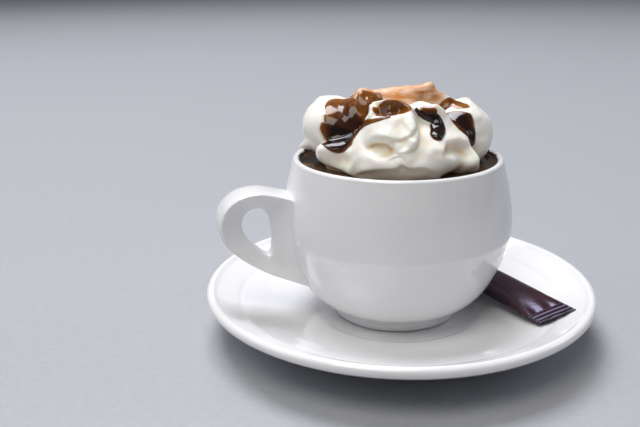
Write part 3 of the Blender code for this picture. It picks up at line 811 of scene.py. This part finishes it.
def build_stick(finish):
    """A flat pillow of film between two crimped ends. Its thickness swells as one less the fourth power of
    the way left to the middle. The crimps carry cosine ridges, and their ends are cut in a cosine wave.
    Gathers run out of each crimp and die away exponentially along the pillow."""
    along = np.linspace(0, STICK_LENGTH, STICK_STEPS)[:, None]
    turns = (np.arange(STICK_SIDES) / STICK_SIDES * TAU)[None, :]
    near_end = np.minimum(along, STICK_LENGTH - along)
    swell = np.clip((near_end - CRIMP_LENGTH) / (STICK_LENGTH / 2 - CRIMP_LENGTH), 0, 1)
    thick = CRIMP_THICKNESS + (STICK_THICKNESS - CRIMP_THICKNESS) * (1 - (1 - swell) ** 4)
    crimped = smooth((CRIMP_LENGTH - near_end) / (0.6 * MM))
    ridges = CRIMP_DEPTH * crimped * np.cos(TAU * CRIMP_RIDGES * near_end / CRIMP_LENGTH)
    ridges = ridges * smooth((1 - np.abs(np.cos(turns))) / 0.1)
    half_width = STICK_WIDTH / 2 * (1 - 0.06 * np.clip(swell * 4, 0, 1))
    rounding = np.sign(np.cos(turns)) * np.abs(np.cos(turns)) ** 0.8
    across = half_width * rounding
    gather = np.exp(-np.maximum(near_end - CRIMP_LENGTH, 0) / (5 * MM)) * (1 - crimped)
    folds = 0.28 * MM * gather * np.cos(across / STICK_WIDTH * TAU * 2.6 + 0.6) * np.sign(np.sin(turns))
    film = np.stack(np.broadcast_arrays(along / MM * 0.4, across / MM, 0 * along), axis=-1)
    folds = folds + 0.10 * MM * (1 - crimped) * wander(film, 9, 1.1)
    height = thick / 2 * np.sin(turns) + ridges + folds * np.abs(np.sin(turns))
    cut = CUT_WAVE * (1 + np.cos(across / STICK_WIDTH * TAU * 2.3 + 0.8)) * smooth(1 - near_end / (3 * MM))
    length = along + np.where(along < STICK_LENGTH / 2, cut, -cut)
    c = math.cos(STICK_TURN)
    s = math.sin(STICK_TURN)
    x = STICK_END[0] - length * s + across * c
    y = STICK_END[1] + length * c + across * s
    leans = []
    for share in (0.12, 0.88):
        place = np.array([STICK_END[0] - STICK_LENGTH * share * s, STICK_END[1] + STICK_LENGTH * share * c])
        sides = [saucer_height(np.hypot(place[0] + k * c, place[1] + k * s)) for k in (-0.008, 0.008)]
        leans.append((share * STICK_LENGTH, sum(sides) / 2, (sides[1] - sides[0]) / 0.016))
    (first, low, lean_a), (last, high, lean_b) = leans
    bed = (high - low) / (last - first) * along + (lean_a + lean_b) / 2 * across
    lift = np.max(saucer_height(np.hypot(x, y)) - bed - height)
    rows = np.stack(np.broadcast_arrays(x, y, bed + height + lift + 0.2 * MM), axis=-1)
    # Painted highlight: strongest on the crimp ridges' crests, and on the upper side only
    painted_highlight = 0.8 * np.clip(ridges / CRIMP_DEPTH, 0, 1) ** 1.5 * np.clip(np.sin(turns), 0, 1) ** 0.5
    points, faces = capped(rows[:, ::-1])
    values = {"painted_highlight": np.append(painted_highlight[:, ::-1].reshape(-1), [0, 0])}
    return piece("stick_wrapper", points, faces, finish, "wrapped_stick", values)


# Stage, light and camera

CAMERA_BACK = 308.4 * MM
CAMERA_UP = 144.9 * MM
CAMERA_ROUND = math.radians(-20)
CAMERA_YAW = math.radians(-6.03)
CAMERA_PITCH = math.radians(17.39)
CAMERA_ROLL = math.radians(-0.71)
FOCAL_PIXELS = 780
FRAME_WIDTH = 640
SENSOR = 36.0


def build_floor(finish):
    half = 40.0
    mesh = bpy.data.meshes.new("floor")
    corners = [(-half, -half), (half, -half), (half, half), (-half, half)]
    mesh.from_pydata([(x, y, -0.2 * MM) for x, y in corners], [], [(0, 1, 2, 3)])
    mesh.materials.append(finish)
    floor = bpy.data.objects.new("floor", mesh)
    bpy.context.scene.collection.objects.link(floor)


def build_light(name, turn, rise, distance, size, power, colour):
    """A square softbox aimed at the cup. Its turn is counted from the camera, to its right, in degrees."""
    turn = math.radians(turn) + CAMERA_ROUND
    rise = math.radians(rise)
    aim = Vector((0, 0, 0.05))
    level = Vector((math.sin(turn), -math.cos(turn), 0.0)) * math.cos(rise)
    place = aim + distance * (level + Vector((0, 0, math.sin(rise))))
    data = bpy.data.lights.new(name, "AREA")
    data.size = size
    data.energy = power
    data.color = linear(colour)[:3]
    light = bpy.data.objects.new(name, data)
    light.location = place
    light.rotation_euler = (aim - place).to_track_quat("-Z", "Y").to_euler()
    bpy.context.scene.collection.objects.link(light)


def build_world():
    world = bpy.data.worlds.new("studio")
    world.use_nodes = True
    background = world.node_tree.nodes["Background"]
    background.inputs["Color"].default_value = linear("#DDDEE2")
    background.inputs["Strength"].default_value = 0.2
    bpy.context.scene.world = world


def build_camera():
    """The photograph's camera: placed round the cup, then turned by its yaw, pitch and roll."""
    back = Vector((math.sin(CAMERA_ROUND), -math.cos(CAMERA_ROUND), 0.0))
    heading = CAMERA_YAW - CAMERA_ROUND
    ahead = Vector((math.sin(heading), math.cos(heading), 0.0)) * math.cos(CAMERA_PITCH)
    ahead.z = -math.sin(CAMERA_PITCH)
    right = ahead.cross(Vector((0, 0, 1))).normalized()
    up = right.cross(ahead)
    rolled_right = right * math.cos(CAMERA_ROLL) + up * math.sin(CAMERA_ROLL)
    rolled_up = up * math.cos(CAMERA_ROLL) - right * math.sin(CAMERA_ROLL)
    place = back * CAMERA_BACK + Vector((0, 0, CAMERA_UP))
    data = bpy.data.cameras.new("camera")
    data.sensor_width = SENSOR
    data.lens = FOCAL_PIXELS / FRAME_WIDTH * SENSOR
    data.clip_start = 0.01
    camera = bpy.data.objects.new("camera", data)
    camera.matrix_world = Matrix(
        (
            (rolled_right.x, rolled_up.x, -ahead.x, place.x),
            (rolled_right.y, rolled_up.y, -ahead.y, place.y),
            (rolled_right.z, rolled_up.z, -ahead.z, place.z),
            (0, 0, 0, 1),
        )
    )
    bpy.context.scene.collection.objects.link(camera)
    bpy.context.scene.camera = camera


def build_stage():
    build_floor(matt_paint())
    build_light("key", -150, 66, 3.2, 1.7, 97.0, "#F8F9FF")
    build_light("left", -75, 35, 2.0, 1.0, 4.0, "#F4F6FF")
    build_light("right", 110, 30, 2.0, 0.5, 3.0, "#E9EDFF")
    build_light("front", -22, 62, 2.2, 1.2, 21.0, "#FFFBF4")
    build_world()
    build_camera()
    bpy.context.scene.view_settings.view_transform = "Standard"


def build_part():
    porcelain = glazed_porcelain()
    build_saucer(porcelain)
    build_cup(porcelain)
    build_handle(porcelain)
    build_drink(drinking_chocolate())
    directions, reach, depth, base = cream_grid()
    build_cream(whipped_cream(), directions, reach, depth, base)
    build_sauce(chocolate_sauce(), directions, reach, depth, base)
    build_stick(printed_film())


build_part()
build_stage()
